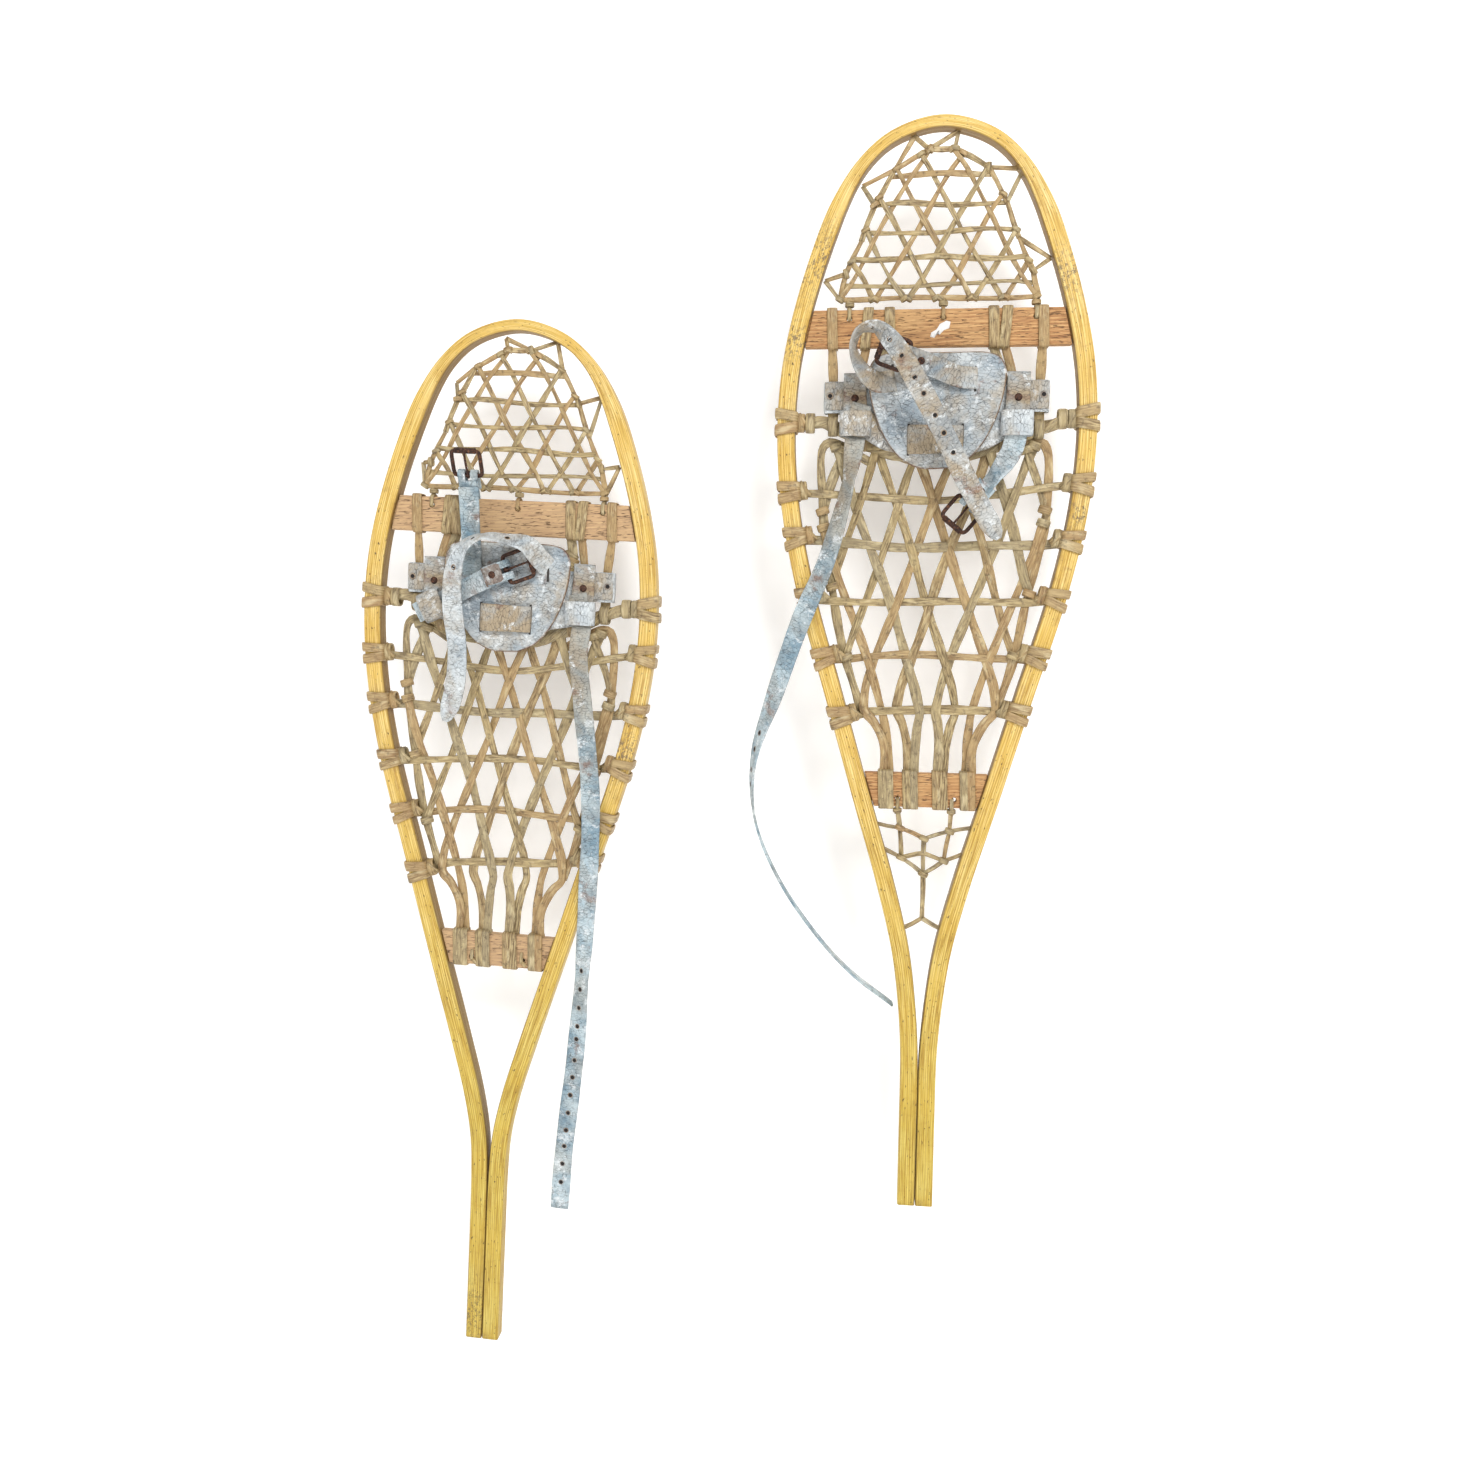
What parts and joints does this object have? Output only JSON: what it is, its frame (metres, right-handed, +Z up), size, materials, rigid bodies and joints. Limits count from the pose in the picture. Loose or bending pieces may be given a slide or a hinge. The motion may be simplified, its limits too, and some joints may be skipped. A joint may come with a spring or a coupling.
{
  "type": "snowshoes",
  "caption": "Traditional snowshoe pair hanging side by side: bent wooden frames with crossbars, rawhide lacing and leather strap bindings.",
  "frame": {"origin": "bottom middle of the pair's box: midway across, midway front to back, at the height of the left shoe's tail end", "axes": "+Z up towards the toes, +X to the viewer's right, -Y towards the viewer, who sees the side the boot stands on"},
  "size_m": [0.738, 0.0944, 1.2336],
  "materials": {
    "rail_wood": "worn honey varnish",
    "crossbar_wood": "weathered, matt",
    "rawhide": "varnished rawhide",
    "binding_leather": "dry, bleached leather",
    "strap_leather": "cracked, bleached leather",
    "rusty_iron": "rusted"
  },
  "bodies": {
    "left_shoe": {"left_frame_rail": "rail_wood", "left_toe_crossbar": "crossbar_wood", "left_heel_crossbar": "crossbar_wood", "left_toe_lacing": "rawhide", "left_centre_lacing": "rawhide", "left_toe_cord": "rawhide", "left_side_strands_l": "rawhide", "left_side_strands_r": "rawhide", "left_side_band_l": "binding_leather", "left_side_band_r": "binding_leather"},
    "left_binding": {"left_pad": "binding_leather", "left_cross_strap": "binding_leather", "left_ear_tab_l": "binding_leather", "left_ear_tab_r": "binding_leather", "left_ear_rivet_l": "rusty_iron", "left_ear_rivet_r": "rusty_iron", "left_toe_strap": "binding_leather", "left_heel_strap_short": "strap_leather", "left_heel_buckle": "rusty_iron"},
    "left_toe_strap_end": {"left_toe_buckle": "rusty_iron"},
    "left_heel_strap": {"left_heel_strap_long": "strap_leather"},
    "left_toe_prong": {"left_toe_buckle_prong": "rusty_iron"},
    "left_heel_prong": {"left_heel_buckle_prong": "rusty_iron"},
    "right_shoe": {"right_frame_rail": "rail_wood", "right_toe_crossbar": "crossbar_wood", "right_heel_crossbar": "crossbar_wood", "right_toe_lacing": "rawhide", "right_centre_lacing": "rawhide", "right_toe_cord": "rawhide", "right_side_strands_l": "rawhide", "right_side_strands_r": "rawhide", "right_side_band_l": "binding_leather", "right_side_band_r": "binding_leather", "right_heel_lacing": "rawhide"},
    "right_binding": {"right_pad": "binding_leather", "right_cross_strap": "binding_leather", "right_ear_tab_l": "binding_leather", "right_ear_tab_r": "binding_leather", "right_ear_rivet_l": "rusty_iron", "right_ear_rivet_r": "rusty_iron", "right_toe_strap": "binding_leather", "right_heel_strap_short": "strap_leather", "right_heel_buckle": "rusty_iron"},
    "right_toe_strap_end": {"right_toe_buckle": "rusty_iron"},
    "right_heel_strap": {"right_heel_strap_long": "strap_leather"},
    "right_toe_prong": {"right_toe_buckle_prong": "rusty_iron"},
    "right_heel_prong": {"right_heel_buckle_prong": "rusty_iron"}
  },
  "joints": [
    {"name": "left_foot_pivot", "type": "hinge", "parent": "left_shoe", "child": "left_binding", "pos_m": [-0.21277, 0.01461, 0.78714], "axis": [-0.9973, 0, 0.0741], "range_deg": [0, 50], "deforming": ["left_side_band_l", "left_side_band_r", "left_side_strands_l", "left_side_strands_r", "left_toe_strap"]},
    {"name": "left_toe_strap_fold", "type": "hinge", "parent": "left_binding", "child": "left_toe_strap_end", "pos_m": [-0.21025, -0.00139, 0.82105], "axis": [-0.9973, 0, 0.0741], "range_deg": [-75, 0]},
    {"name": "left_heel_strap_swing", "type": "hinge", "parent": "left_binding", "child": "left_heel_strap", "pos_m": [-0.13676, -0.00139, 0.75743], "axis": [-0.9973, 0, 0.0741], "range_deg": [0, 70]},
    {"name": "left_toe_prong_turn", "type": "hinge", "parent": "left_toe_strap_end", "child": "left_toe_prong", "pos_m": [-0.24155, -0.01739, 0.91262], "axis": [0.9973, 0, -0.0741], "range_deg": [0, 45]},
    {"name": "left_heel_prong_turn", "type": "hinge", "parent": "left_binding", "child": "left_heel_prong", "pos_m": [-0.2084, -0.00939, 0.81891], "axis": [0.3049, 0, -0.9524], "range_deg": [0, 45]},
    {"name": "right_shoe_lift", "type": "slide", "parent": "left_shoe", "child": "right_shoe", "axis": [0, 0, 1], "range_m": [0, 0.15]},
    {"name": "right_foot_pivot", "type": "hinge", "parent": "right_shoe", "child": "right_binding", "pos_m": [0.21351, 0.01461, 0.95506], "axis": [-0.9996, 0, 0.0297], "range_deg": [0, 50], "deforming": ["right_side_band_l", "right_side_band_r", "right_side_strands_l", "right_side_strands_r", "right_toe_strap"]},
    {"name": "right_toe_strap_fold", "type": "hinge", "parent": "right_binding", "child": "right_toe_strap_end", "pos_m": [0.21452, -0.00139, 0.98905], "axis": [-0.9996, 0, 0.0297], "range_deg": [-75, 0]},
    {"name": "right_heel_strap_swing", "type": "hinge", "parent": "right_binding", "child": "right_heel_strap", "pos_m": [0.13683, -0.00139, 0.93333], "axis": [-0.9996, 0, 0.0297], "range_deg": [0, 70]},
    {"name": "right_toe_prong_turn", "type": "hinge", "parent": "right_toe_strap_end", "child": "right_toe_prong", "pos_m": [0.1851, -0.01539, 1.00893], "axis": [0.3697, 0, 0.9291], "range_deg": [0, 45]},
    {"name": "right_heel_prong_turn", "type": "hinge", "parent": "right_binding", "child": "right_heel_prong", "pos_m": [0.24503, -0.00639, 0.87109], "axis": [-0.7466, 0, 0.6652], "range_deg": [0, 45]}
  ],
  "couplings": [
    {"joint": "left_toe_strap_fold", "follows": "left_foot_pivot", "ratio": -1.5},
    {"joint": "right_toe_strap_fold", "follows": "right_foot_pivot", "ratio": -1.5}
  ]
}
